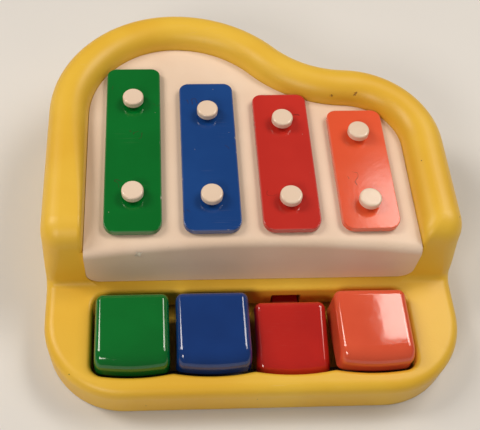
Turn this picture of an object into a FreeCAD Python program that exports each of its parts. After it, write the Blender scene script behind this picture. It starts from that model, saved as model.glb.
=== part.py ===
import FreeCAD, Part
import math
import os
import types

import Sketcher

# Driving sizes in millimetres. Names ending in angle are degrees, and names ending in share are shares.
SIZES = {
    # Housing plan, measured at the edge of the opening inside the rim
    "opening_tail_radius": 51.5,
    "opening_crown_radius": 62,
    "opening_waist_radius": 78,
    "opening_shoulder_radius": 31.5,
    "opening_side_gap": 10.7,
    "opening_tail_gap": 19.3,
    "opening_shoulder_gap": 7.3,
    "rim_width": 22.6,
    "front_corner_radius": 44,
    # Housing section
    "deck_height": 24,
    "rim_height": 65.5,
    "housing_wall": 3,
    "deck_edge_radius": 6.5,
    "rim_roll_radius": 10.8,
    "rim_end_angle": 9,
    "rim_end_inner_radius": 2.4,
    "rim_cove_radius": 4,
    "rim_bend_radius": 14,
    "window_corner_radius": 8,
    "ledge_width": 3,
    "ledge_thickness": 3,
    # Key bay
    "front_lip": 10.4,
    "deck_strip": 6.2,
    "bay_rear_gap": 5,
    "bay_corner_radius": 7.2,
    "bay_cusp_radius": 3,
    "bay_side_gap": 1.6,
    "bay_edge_radius": 2.4,
    "bay_skirt_wall": 2.5,
    "bay_skirt_gap": 0.5,
    "notch_side_gap": 1.25,
    "notch_top_gap": 1,
    # Bottom tray
    "tray_stand": 0.8,
    "tray_floor": 2.2,
    "tray_rib_width": 2,
    "tray_rib_height": 7,
    "tray_rib_gap": 0.3,
    "post_thickness": 6,
    "post_radius": 5,
    "rest_rib_depth": 9,
    # Keys, their levers and the pivot
    "key_pitch": 43,
    "key_row_offset": 0.9,
    "key_width": 41,
    "key_draft_angle": 2.5,
    "key_front_gap": 1.9,
    "key_depth": 42,
    "key_rise": 10.5,
    "key_foot_height": 6.5,
    "key_front_sagitta": 2,
    "key_front_radius": 8.5,
    "key_edge_radius": 4,
    "key_side_wall": 2.5,
    "key_front_wall": 4,
    "key_top_wall": 3.5,
    "lever_width": 14,
    "lever_thickness": 5,
    "lever_drop": 1.5,
    "lever_reach": 9.5,
    "lever_web_depth": 23,
    "lever_tail": 5,
    "pivot_setback": 36.5,
    "pivot_height": 13,
    "hub_radius": 5,
    "hub_end_gap": 0.5,
    "rod_radius": 2,
    "rod_fit": 0.05,
    "retainer_radius": 4,
    "retainer_length": 3,
    "retainer_gap": 0.3,
    # Hammer on the lever's tail
    "hammer_reach": 36.15,
    "hammer_post_radius": 3,
    "hammer_spigot_radius": 2,
    "hammer_spigot_length": 4,
    "hammer_tip_radius": 4,
    "hammer_tip_height": 6,
    "hammer_dome_share": 0.62,
    "hammer_fit": 0.05,
    "strike_gap": 0.8,
    # Felts and return springs
    "felt_gap": 0.15,
    "stop_felt_thickness": 2.326,
    "felt_width": 8.5,
    "felt_thickness": 2,
    "spring_width": 7,
    "spring_thickness": 0.4,
    "spring_gap": 0.2,
    "spring_tip_reach": 44,
    "spring_tab_length": 8,
    "spring_free_length": 22,
    "spring_pad_height": 5,
    "spring_screw_radius": 1.1,
    "spring_screw_length": 4.2,
    "spring_screw_head_radius": 2.3,
    "spring_screw_head": 1.4,
    "spring_hole_gap": 0.3,
    # Soundboard panel
    "panel_drop": 12.7,
    "panel_thickness": 2.2,
    "panel_gap": 0.3,
    "panel_bend_radius": 5,
    "panel_setback": 0.8,
    "panel_arch": 10,
    "peg_post_radius": 4,
    "peg_post_drop": 8,
    "strike_window_margin": 2,
    "hook_width": 10,
    "hook_thickness": 2,
    "hook_nose": 1.6,
    "hook_spacing": 40,
    # Tone bars, pegs and washers
    "longest_bar": 115.2,
    "bar_width": 31.6,
    "bar_thickness": 3.2,
    "bar_setback": 13,
    "bar_front_corner_radius": 7,
    "bar_rear_corner_radius": 5.5,
    "bar_edge_radius": 0.5,
    "bar_hole_radius": 2.5,
    "bar_front_node_share": 0.2,
    "bar_rear_node_share": 0.231,
    "washer_radius": 5,
    "washer_thickness": 1,
    "peg_head_radius": 6.05,
    "peg_head_height": 3.5,
    "peg_head_edge_radius": 1.1,
    "peg_neck_radius": 3.25,
    "peg_neck_height": 2.5,
    "peg_play": 0.2,
    "peg_shaft_radius": 2,
    "peg_shaft_length": 10,
    "peg_fit": 0.05,
    # Housing screws
    "screw_inset": 11,
    "screw_radius": 1.5,
    "screw_length": 12,
    "screw_head_radius": 3,
    "screw_head_height": 2,
    "screw_head_sink": 0.4,
    "screw_fit": 0.02,
    "screw_hole_gap": 0.2,
    "screw_head_gap": 0.75,
    "screw_post_radius": 4.5,
    "screw_pad_radius": 5.5,
    "screw_pad_height": 5.2,
    "screw_tip_room": 2,
    # Overlap that keeps cuts and joins clear of shared faces
    "overrun": 1,
}

# A free bar's pitch falls with the square of its length, so the notes of a chord set the lengths.
BAR_TONE_SHARES = {"green": 1, "blue": 4 / 5, "red": 2 / 3, "orange": 1 / 2}

# How much of its full travel each key stands pressed as modelled.
PRESS_SHARES = {"green": 0, "blue": 0, "red": 1, "orange": 0}

COLOURS = tuple(BAR_TONE_SHARES)
SIDES = (-1, 1)
START, END, CENTRE = range(1, 4)
ORIGIN = -START
UP = FreeCAD.Vector(0, 0, 1)
TOLERANCE = 1e-3

document = FreeCAD.newDocument("toy_piano")
sheet = document.addObject("Spreadsheet::Sheet", "sizes")
for row, (name, number) in enumerate(SIZES.items(), 1):
    sheet.set(f"A{row}", name)
    sheet.set(f"B{row}", str(number))
    sheet.setAlias(f"B{row}", name)
document.recompute()


class Size:
    """A length worked out from the sheet: its formula as text together with its present value."""

    def __init__(self, text, value):
        self.text = text
        self.value = value

    def join(self, sign, other, value):
        return Size(f"({self.text} {sign} {other.text})", value)

    def __add__(self, other):
        other = as_size(other)
        return self.join("+", other, self.value + other.value)

    def __sub__(self, other):
        other = as_size(other)
        return self.join("-", other, self.value - other.value)

    def __mul__(self, other):
        other = as_size(other)
        return self.join("*", other, self.value * other.value)

    def __truediv__(self, other):
        other = as_size(other)
        return self.join("/", other, self.value / other.value)

    def __radd__(self, other):
        return as_size(other) + self

    def __rsub__(self, other):
        return as_size(other) - self

    def __rmul__(self, other):
        return as_size(other) * self

    def __neg__(self):
        return 0 - self


def as_size(length):
    return length if isinstance(length, Size) else Size(repr(length), length)


def root(length):
    return Size(f"sqrt({length.text})", math.sqrt(length.value))


def sine(angle):
    return Size(f"sin({angle.text})", math.sin(math.radians(angle.value)))


def cosine(angle):
    return Size(f"cos({angle.text})", math.cos(math.radians(angle.value)))


def tangent(angle):
    return Size(f"tan({angle.text})", math.tan(math.radians(angle.value)))


def arc_sine(share):
    return Size(f"asin({share.text})", math.degrees(math.asin(share.value)))


def arc_tangent(share):
    return Size(f"atan({share.text})", math.degrees(math.atan(share.value)))


d = types.SimpleNamespace(**{name: Size(f"sizes.{name}", float(sheet.get(name))) for name in SIZES})


def bind(item, path, length):
    """Tie one property of an object to its formula in the sheet."""
    item.setExpression(path, as_size(length).text)


def place(item, x=0, y=0, z=0):
    for axis, length in zip("xyz", (x, y, z)):
        bind(item, f"Placement.Base.{axis}", length)


class Profile:
    """A sketch on one of a body's own origin planes, with its constraints bound to the sheet."""

    def __init__(self, body, plane, offset=0):
        planes = {feature.Role: feature for feature in body.Origin.OriginFeatures}
        self.sketch = body.newObject("Sketcher::SketchObject", f"{body.Name}_profile")
        self.sketch.AttachmentSupport = [(planes[plane], "")]
        self.sketch.MapMode = "FlatFace"
        bind(self.sketch, "AttachmentOffset.Base.z", offset)

    def fix(self, kind, *places):
        self.sketch.addConstraint(Sketcher.Constraint(kind, *places))

    def hold(self, kind, *places_and_length):
        *places, length = places_and_length
        index = self.sketch.addConstraint(Sketcher.Constraint(kind, *places, length.value))
        bind(self.sketch, f"Constraints[{index}]", length)

    def hold_x(self, number, end, x):
        self.hold("DistanceX", ORIGIN, START, number, end, as_size(x))

    def hold_y(self, number, end, y):
        self.hold("DistanceY", ORIGIN, START, number, end, as_size(y))

    def chain(self, *steps, smooth=True):
        """Draw a closed run of lines (start, end) and arcs (centre, radius, first angle, last angle)."""
        drawn = []
        for step in steps:
            is_line = len(step) == 2
            if is_line:
                start, end = (FreeCAD.Vector(*point, 0) for point in step)
                heading = math.atan2(end.y - start.y, end.x - start.x)
                number = self.sketch.addGeometry(Part.LineSegment(start, end))
                drawn.append((number, START, END, heading, heading))
                continue
            centre, radius, first, last = step
            turn = math.copysign(math.pi / 2, last - first)
            circle = Part.Circle(FreeCAD.Vector(*centre, 0), UP, radius)
            number = self.sketch.addGeometry(Part.ArcOfCircle(circle, min(first, last), max(first, last)))
            begin, end = (START, END) if last > first else (END, START)
            drawn.append((number, begin, end, first + turn, last + turn))
        for here, following in zip(drawn, drawn[1:] + drawn[:1]):
            flows_on = math.cos(here[4] - following[3]) > 1 - TOLERANCE
            kind = "Tangent" if smooth and flows_on else "Coincident"
            self.fix(kind, here[0], here[2], following[0], following[1])
        return [number for number, *_ in drawn]

    def circle(self, x, y, radius):
        x, y = as_size(x), as_size(y)
        centre = FreeCAD.Vector(x.value, y.value, 0)
        number = self.sketch.addGeometry(Part.Circle(centre, UP, radius.value))
        self.hold("Radius", number, radius)
        self.hold_x(number, CENTRE, x)
        self.hold_y(number, CENTRE, y)

    def polygon(self, *points):
        points = [(as_size(x), as_size(y)) for x, y in points]
        corners = [(x.value, y.value) for x, y in points]
        numbers = self.chain(*zip(corners, corners[1:] + corners[:1]), smooth=False)
        for number, (x, y) in zip(numbers, points):
            self.hold_x(number, START, x)
            self.hold_y(number, START, y)

    def rounded_box(self, left, right, front, rear, front_corner, rear_corner):
        """Draw a box with one radius at its two front corners and another at its two rear corners."""
        x0, x1, y0, y1 = (length.value for length in (left, right, front, rear))
        f, r = front_corner.value, rear_corner.value
        half = math.pi / 2
        numbers = self.chain(
            ((x0 + f, y0), (x1 - f, y0)),
            ((x1 - f, y0 + f), f, -half, 0),
            ((x1, y0 + f), (x1, y1 - r)),
            ((x1 - r, y1 - r), r, 0, half),
            ((x1 - r, y1), (x0 + r, y1)),
            ((x0 + r, y1 - r), r, half, 2 * half),
            ((x0, y1 - r), (x0, y0 + f)),
            ((x0 + f, y0 + f), f, 2 * half, 3 * half),
        )
        front_line, front_right, right_line, rear_right, rear_line, rear_left, left_line, front_left = numbers
        for number in (front_line, rear_line):
            self.fix("Horizontal", number)
        for number in (left_line, right_line):
            self.fix("Vertical", number)
        for number in (front_left, front_right):
            self.hold("Radius", number, front_corner)
        for number in (rear_left, rear_right):
            self.hold("Radius", number, rear_corner)
        self.hold_x(left_line, START, left)
        self.hold_x(right_line, START, right)
        self.hold_y(front_line, START, front)
        self.hold_y(rear_line, START, rear)


def new_body(name):
    return document.addObject("PartDesign::Body", name)


def pad(body, profile, length, both_ways=False):
    """Extrude a profile along its plane's normal, or half each way."""
    item = body.newObject("PartDesign::Pad", f"{body.Name}_pad")
    item.Profile = profile.sketch
    item.SideType = "Symmetric" if both_ways else "One side"
    bind(item, "Length", length)


def pocket(body, profile, depth, both_ways=False):
    """Cut a profile out along its plane's normal, or half each way, and make sure that it cuts."""
    document.recompute()
    before = body.Shape.Volume
    item = body.newObject("PartDesign::Pocket", f"{body.Name}_pocket")
    item.Profile = profile.sketch
    item.SideType = "Symmetric" if both_ways else "One side"
    item.Reversed = not both_ways
    bind(item, "Length", depth)
    document.recompute()
    if not item.Shape.Volume < before:
        raise ValueError(f"a pocket in {body.Name} cuts nothing")


def revolve(body, profile):
    item = body.newObject("PartDesign::Revolution", f"{body.Name}_turning")
    item.Profile = profile.sketch
    item.ReferenceAxis = (profile.sketch, ["V_Axis"])


def soften(body, radius, wanted):
    """Round the edges of a body that the wanted function picks, with one radius."""
    document.recompute()
    tip = body.Tip
    names = [f"Edge{number}" for number, edge in enumerate(tip.Shape.Edges, 1) if wanted(edge)]
    item = body.newObject("PartDesign::Fillet", f"{body.Name}_rounding")
    item.Base = (tip, names)
    bind(item, "Radius", radius)


def roll_edges(name, base, end_radii):
    """Round the edges that end_radii gives a radius for at each end."""
    document.recompute()
    item = document.addObject("Part::Fillet", name)
    item.Base = base
    picked = [(number, end_radii(edge)) for number, edge in enumerate(base.Shape.Edges, 1)]
    item.Edges = [(number, *radii) for number, radii in picked if radii]
    return item


def join(name, *pieces):
    item = document.addObject("Part::MultiFuse", name)
    item.Shapes = list(pieces)
    item.Refine = True
    return item


def overlap(name, *pieces):
    item = document.addObject("Part::MultiCommon", name)
    item.Shapes = list(pieces)
    item.Refine = True
    return item


def cut(name, base, *tools):
    """Cut one or more tools from a base, which has to lose volume."""
    item = document.addObject("Part::Cut", name)
    item.Base = base
    item.Tool = tools[0] if len(tools) == 1 else join(f"{name}_tools", *tools)
    item.Refine = True
    document.recompute()
    if not item.Shape.Volume < base.Shape.Volume:
        raise ValueError(f"the cut {name} takes nothing away")
    return item


def group(name, *pieces):
    item = document.addObject("Part::Compound", name)
    item.Links = list(pieces)
    return item


def cylinder(name, radius, height, x, y, z):
    item = document.addObject("Part::Cylinder", name)
    bind(item, "Radius", radius)
    bind(item, "Height", height)
    place(item, x, y, z)
    return item


def rod_along_x(name, radius, length, x, y, z):
    item = document.addObject("Part::Cylinder", name)
    item.Placement = FreeCAD.Placement(FreeCAD.Vector(), FreeCAD.Rotation(UP, FreeCAD.Vector(1, 0, 0)))
    bind(item, "Radius", radius)
    bind(item, "Height", length)
    place(item, x, y, z)
    return item


def box(name, left, right, front, rear, bottom, top):
    item = document.addObject("Part::Box", name)
    bind(item, "Length", right - left)
    bind(item, "Width", rear - front)
    bind(item, "Height", top - bottom)
    place(item, left, front, bottom)
    return item


def edge_ends(edge):
    return [edge.valueAt(parameter) for parameter in (edge.FirstParameter, edge.LastParameter)]


def edge_middle(edge):
    return edge.valueAt((edge.FirstParameter + edge.LastParameter) / 2)


def lies_at(edge, **places):
    """Say whether both ends and the middle of an edge share the given coordinates."""
    points = edge_ends(edge) + [edge_middle(edge)]
    gaps = [getattr(point, axis) - length.value for point in points for axis, length in places.items()]
    return all(abs(gap) < TOLERANCE for gap in gaps)


def over_outline(edge, sketch):
    """Say whether the middle of an edge stands straight above or below a horizontal sketch."""
    middle = edge_middle(edge)
    middle.z = sketch.Shape.BoundBox.ZMin
    return sketch.Shape.distToShape(Part.Vertex(middle))[0] < TOLERANCE


# Places worked out from the driving sizes, from front to rear and from the middle outwards
row_x = -d.key_row_offset
bar_lengths = {colour: d.longest_bar * root(as_size(share)) for colour, share in BAR_TONE_SHARES.items()}
shortest_bar = bar_lengths[COLOURS[-1]]
outer_columns = (len(COLOURS) - 1) / 2
bar_x = {colour: d.key_pitch * (i - outer_columns) for i, colour in enumerate(COLOURS)}
column_x = {colour: row_x + x for colour, x in bar_x.items()}
bay_half = d.key_pitch * outer_columns + d.key_width / 2 + d.bay_side_gap
opening_half = d.key_pitch * outer_columns + d.bar_width / 2 + d.opening_side_gap
half_width = opening_half + d.rim_width

rim_foot_from_front = d.front_lip + d.key_front_gap + d.key_depth + d.bay_rear_gap + d.deck_strip
bar_front_from_front = rim_foot_from_front + d.bar_setback
half_depth = (bar_front_from_front + d.longest_bar + d.opening_tail_gap + d.rim_width) / 2
front_y = -half_depth
rear_y = half_depth
bay_front_y = front_y + d.front_lip
key_front_y = bay_front_y + d.key_front_gap
key_rear_y = key_front_y + d.key_depth
bay_rear_y = key_rear_y + d.bay_rear_gap
pivot_y = key_rear_y + d.pivot_setback
rim_foot_y = bay_rear_y + d.deck_strip
bar_front_y = rim_foot_y + d.bar_setback

tail_radius = d.opening_tail_radius + d.rim_width
crown_radius = d.opening_crown_radius + d.rim_width
waist_radius = d.opening_waist_radius - d.rim_width
shoulder_radius = d.opening_shoulder_radius + d.rim_width
tail_x = tail_radius - half_width
shoulder_x = half_width - shoulder_radius
shoulder_y = bar_front_y + shortest_bar + d.opening_shoulder_gap - d.opening_shoulder_radius
corner_y = front_y + d.front_corner_radius

panel_top = d.rim_height - d.panel_drop
ledge_top = panel_top - d.panel_thickness
ledge_bottom = ledge_top - d.ledge_thickness
ledge_inset = d.rim_width + d.ledge_width
rim_slope = tangent(d.rim_end_angle)
rim_top_y = rim_foot_y + (d.rim_height - d.deck_height) * rim_slope
crown_bottom = d.rim_height - d.rim_roll_radius
rim_end_wall = d.housing_wall / cosine(d.rim_end_angle)
rim_back_y = rim_foot_y + (crown_bottom - d.deck_height) * rim_slope + rim_end_wall
deck_bottom = d.deck_height - d.housing_wall
skirt_bottom = d.tray_rib_height + d.bay_skirt_gap
bar_bottom = panel_top + d.washer_thickness
bar_top = bar_bottom + d.bar_thickness

front_radius = d.key_width * d.key_width / (8 * d.key_front_sagitta) + d.key_front_sagitta / 2
front_centre_y = key_front_y + front_radius
screw_places = [(side * (half_width - d.screw_inset), y) for side in SIDES for y in (corner_y, shoulder_y)]
screw_places += [(tail_x, rear_y - d.screw_inset)]
screw_places += [(shoulder_x, shoulder_y + shoulder_radius - d.screw_inset)]


def plan_outline(profile, inset, front=front_y, corner=d.front_corner_radius):
    """Draw the piano's plan set in by one width: straight sides, tail, crown, waist and shoulder arcs."""
    inset = as_size(inset)
    left, right = inset - half_width, half_width - inset
    crown = (tail_x.value, (rear_y - crown_radius).value)
    shoulder = (shoulder_x.value, shoulder_y.value)
    to_waist = (crown_radius + waist_radius).value
    from_waist = (shoulder_radius + waist_radius).value
    across = math.dist(crown, shoulder)
    along = (to_waist**2 - from_waist**2 + across**2) / (2 * across)
    aside = math.sqrt(to_waist**2 - along**2)
    ux, uy = (shoulder[0] - crown[0]) / across, (shoulder[1] - crown[1]) / across
    waist = (crown[0] + ux * along - uy * aside, crown[1] + uy * along + ux * aside)
    crown_end = math.atan2(waist[1] - crown[1], waist[0] - crown[0])
    shoulder_start = math.atan2(waist[1] - shoulder[1], waist[0] - shoulder[0])
    tail_y = (rear_y - tail_radius).value
    x0, x1, y0, r = left.value, right.value, front.value, corner.value
    half = math.pi / 2
    numbers = profile.chain(
        ((tail_x.value, tail_y), (tail_radius - inset).value, 2 * half, half),
        (crown, (crown_radius - inset).value, half, crown_end),
        (waist, (waist_radius + inset).value, crown_end - 2 * half, shoulder_start - 2 * half),
        (shoulder, (shoulder_radius - inset).value, shoulder_start, 0),
        ((x1, shoulder[1]), (x1, y0 + r)),
        ((x1 - r, y0 + r), r, 0, -half),
        ((x1 - r, y0), (x0 + r, y0)),
        ((x0 + r, y0 + r), r, -half, -2 * half),
        ((x0, y0 + r), (x0, tail_y)),
    )
    tail_arc, crown_arc, waist_arc, shoulder_arc, *front_run = numbers
    right_line, right_corner, front_line, left_corner, left_line = front_run
    profile.fix("Horizontal", front_line)
    profile.fix("Vertical", left_line)
    profile.fix("Vertical", right_line)
    profile.fix("Vertical", tail_arc, CENTRE, crown_arc, CENTRE)
    profile.hold("Radius", tail_arc, tail_radius - inset)
    profile.hold("Radius", crown_arc, crown_radius - inset)
    profile.hold("Radius", waist_arc, waist_radius + inset)
    profile.hold("Radius", shoulder_arc, shoulder_radius - inset)
    profile.hold("Radius", left_corner, corner)
    profile.hold("Radius", right_corner, corner)
    profile.hold_x(left_line, START, left)
    profile.hold_x(right_line, START, right)
    profile.hold_y(front_line, START, front)
    profile.hold_y(tail_arc, START, rear_y - inset)
    profile.hold_y(shoulder_arc, CENTRE, shoulder_y)


def bay_outline(profile, grow):
    """Draw the key bay grown by one width: a straight rear and a front scalloped round each key."""
    grow = as_size(grow)
    scallop, corner = front_radius + d.key_front_gap + grow, d.bay_corner_radius + grow
    left, right, rear = row_x - bay_half - grow, row_x + bay_half + grow, bay_rear_y + grow
    x0, x1, y1, r, c = (length.value for length in (left, right, rear, corner, d.bay_cusp_radius))
    big, centre_y = scallop.value, front_centre_y.value
    centres = [(column_x[colour].value, centre_y) for colour in COLOURS]
    half = math.pi / 2
    cusp_rise = math.sqrt((big + c) ** 2 - (d.key_pitch.value / 2) ** 2)
    swing = math.atan2(d.key_pitch.value / 2, cusp_rise)
    reach = centres[0][0] - x0 - r
    corner_rise = math.sqrt((big - r) ** 2 - reach**2)
    corner_swing = math.atan2(reach, corner_rise)
    steps = [((x0, y1 - r), (x0, centre_y - corner_rise))]
    steps.append(((x0 + r, centre_y - corner_rise), r, 2 * half, 3 * half - corner_swing))
    for colour, centre in zip(COLOURS, centres):
        first = corner_swing if colour == COLOURS[0] else swing
        last = corner_swing if colour == COLOURS[-1] else swing
        steps.append((centre, big, -half - first, -half + last))
        if colour != COLOURS[-1]:
            cusp = (centre[0] + d.key_pitch.value / 2, centre_y - cusp_rise)
            steps.append((cusp, c, half + swing, half - swing))
    steps.append(((x1 - r, centre_y - corner_rise), r, corner_swing - half, 0))
    steps.append(((x1, centre_y - corner_rise), (x1, y1 - r)))
    steps.append(((x1 - r, y1 - r), r, 0, half))
    steps.append(((x1 - r, y1), (x0 + r, y1)))
    steps.append(((x0 + r, y1 - r), r, half, 2 * half))
    numbers = profile.chain(*steps)
    left_line, left_corner, *front, right_corner, right_line, rear_right, rear_line, rear_left = numbers
    profile.fix("Horizontal", rear_line)
    profile.fix("Vertical", left_line)
    profile.fix("Vertical", right_line)
    for number in (left_corner, right_corner, rear_right, rear_left):
        profile.hold("Radius", number, corner)
    for number, colour in zip(front[::2], COLOURS):
        profile.hold("Radius", number, scallop)
        profile.hold_x(number, CENTRE, column_x[colour])
        profile.hold_y(number, CENTRE, front_centre_y)
    for number in front[1::2]:
        profile.hold("Radius", number, d.bay_cusp_radius)
    profile.hold_x(left_line, START, left)
    profile.hold_x(right_line, START, right)
    profile.hold_y(rear_line, START, rear)


def plan_prism(name, bottom, top, inset, front=front_y, corner=d.front_corner_radius):
    body = new_body(name)
    profile = Profile(body, "XY_Plane", bottom)
    plan_outline(profile, inset, front, corner)
    pad(body, profile, top - bottom)
    return body


def housing_block():
    """The outer form: the piano's plan stepped down in front to the deck, with every top edge rolled."""
    block = new_body("housing_block")
    plan = Profile(block, "XY_Plane", d.tray_stand)
    plan_outline(plan, 0)
    pad(block, plan, d.rim_height - d.tray_stand)
    step = Profile(block, "YZ_Plane")
    step_front = front_y - d.overrun
    step_top = d.rim_height + d.overrun
    step.polygon(
        (step_front, d.deck_height),
        (rim_foot_y, d.deck_height),
        (rim_foot_y + (step_top - d.deck_height) * rim_slope, step_top),
        (step_front, step_top),
    )
    pocket(block, step, 4 * half_width, both_ways=True)
    soften(block, d.rim_cove_radius, lambda edge: lies_at(edge, y=rim_foot_y, z=d.deck_height))
    soften(block, d.rim_bend_radius, lambda edge: lies_at(edge, y=rim_top_y, z=d.rim_height))

    bay_corner_x = row_x - bay_half + d.bay_corner_radius
    bay_corner_y = front_centre_y - (front_radius + d.key_front_gap - d.bay_corner_radius)
    corner_x = d.front_corner_radius - half_width
    corner_run = math.dist((bay_corner_x.value, bay_corner_y.value), (corner_x.value, corner_y.value))
    corner_lip = d.front_corner_radius.value - corner_run - d.bay_corner_radius.value
    edge_room = min(d.front_lip.value, corner_lip) - d.bay_edge_radius.value
    deck_edge = min(d.deck_edge_radius.value, edge_room)
    middle_height = (d.deck_height.value + d.rim_height.value) / 2

    def outer_radii(edge):
        ends = edge_ends(edge)
        level = min(end.z for end in ends)
        upright = math.hypot(ends[0].x - ends[1].x, ends[0].y - ends[1].y) < TOLERANCE
        if upright or level < d.deck_height.value - TOLERANCE or not over_outline(edge, plan.sketch):
            return None
        return [d.rim_roll_radius.value if end.z > middle_height else deck_edge for end in ends]

    return roll_edges("housing_rolled", block, outer_radii)


def housing_opening(block):
    """Sink the opening for the panel, roll its edge and open the front down to the deck."""
    tool = new_body("opening_tool")
    plan = Profile(tool, "XY_Plane", ledge_top)
    plan_outline(plan, d.rim_width, rim_foot_y - d.window_corner_radius, d.window_corner_radius / 2)
    pad(tool, plan, d.rim_height + d.overrun - ledge_top)
    opened = cut("housing_opened", block, tool)

    def radius_at(height):
        on_rim = height > d.rim_height.value - TOLERANCE
        return d.rim_roll_radius.value if on_rim else d.rim_end_inner_radius.value

    def inner_radii(edge):
        ends = edge_ends(edge)
        on_top = max(end.z for end in ends) > ledge_top.value + TOLERANCE
        upright = math.hypot(ends[0].x - ends[1].x, ends[0].y - ends[1].y) < TOLERANCE
        if upright or not on_top or not over_outline(edge, plan.sketch):
            return None
        return [radius_at(end.z) for end in ends]

    rolled = roll_edges("housing_opening_rolled", opened, inner_radii)
    window = new_body("window_tool")
    window_front = rim_foot_y - d.rim_cove_radius - d.overrun
    face = Profile(window, "XZ_Plane", -(window_front + rim_back_y) / 2)
    face.rounded_box(
        -opening_half,
        opening_half,
        d.deck_height,
        d.rim_height + d.window_corner_radius,
        d.window_corner_radius,
        d.window_corner_radius / 2,
    )
    pad(window, face, rim_back_y - window_front, both_ways=True)
    return cut("housing_windowed", rolled, window)


def housing_hollow():
    """The space inside the housing: below the deck, behind the rim's ends, in the rim, within the ledge."""
    hollow = new_body("housing_hollow")
    corner = d.front_corner_radius - d.housing_wall
    low = Profile(hollow, "XY_Plane", d.tray_stand - d.overrun)
    plan_outline(low, d.housing_wall, front_y + d.housing_wall, corner)
    pad(hollow, low, deck_bottom - d.tray_stand + d.overrun)
    high = Profile(hollow, "XY_Plane", deck_bottom - d.overrun)
    plan_outline(high, d.housing_wall, rim_back_y, d.window_corner_radius)
    pad(hollow, high, ledge_bottom - deck_bottom + d.overrun)
    ring = Profile(hollow, "XY_Plane", ledge_bottom - d.overrun)
    plan_outline(ring, d.housing_wall, rim_back_y, d.window_corner_radius)
    plan_outline(ring, d.rim_width - d.housing_wall, rim_back_y + d.housing_wall, d.window_corner_radius)
    pad(hollow, ring, crown_bottom - ledge_bottom + d.overrun)
    middle = Profile(hollow, "XY_Plane", ledge_bottom - d.overrun)
    plan_outline(middle, ledge_inset, rim_back_y, d.window_corner_radius)
    pad(hollow, middle, ledge_top - ledge_bottom + 2 * d.overrun)
    return hollow


def upper_housing():
    shell = cut("housing_shell", housing_opening(housing_block()), housing_hollow())
    skirt = new_body("bay_skirt")
    skirt_plan = Profile(skirt, "XY_Plane", skirt_bottom)
    bay_outline(skirt_plan, d.bay_skirt_wall)
    pad(skirt, skirt_plan, d.deck_height - d.overrun - skirt_bottom)
    posts = []
    pilots = []
    pilot_length = d.screw_head_sink + d.screw_head_height + d.screw_length + d.screw_tip_room
    for i, (x, y) in enumerate(screw_places):
        under_deck = y.value < rim_foot_y.value
        post_top = (deck_bottom if under_deck else crown_bottom) + d.overrun
        post_length = post_top - d.screw_pad_height
        posts.append(cylinder(f"screw_post_{i}", d.screw_post_radius, post_length, x, y, d.screw_pad_height))
        pilots.append(cylinder(f"screw_pilot_{i}", d.screw_radius + d.screw_fit, pilot_length, x, y, 0))
    joined = join("housing_joined", shell, skirt, *posts)
    bay = new_body("bay_tool")
    bay_plan = Profile(bay, "XY_Plane", skirt_bottom - d.overrun)
    bay_outline(bay_plan, 0)
    pad(bay, bay_plan, d.deck_height + 2 * d.overrun - skirt_bottom)
    notch_half = d.lever_width / 2 + d.notch_side_gap
    notch_top = d.pivot_height - d.lever_drop + d.lever_thickness + d.notch_top_gap
    notches = []
    for colour in COLOURS:
        x = column_x[colour]
        notch_rear = bay_rear_y + d.bay_skirt_wall + d.overrun
        notch_bottom = skirt_bottom - d.overrun
        notch = box(
            f"{colour}_notch", x - notch_half, x + notch_half, key_rear_y, notch_rear, notch_bottom, notch_top
        )
        notches.append(notch)
    pierced = cut("housing_pierced", joined, bay, *notches, *pilots)

    def bay_radii(edge):
        if lies_at(edge, z=d.deck_height) and over_outline(edge, bay_plan.sketch):
            return [d.bay_edge_radius.value] * 2
        return None

    return roll_edges("upper_housing", pierced, bay_radii)


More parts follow.
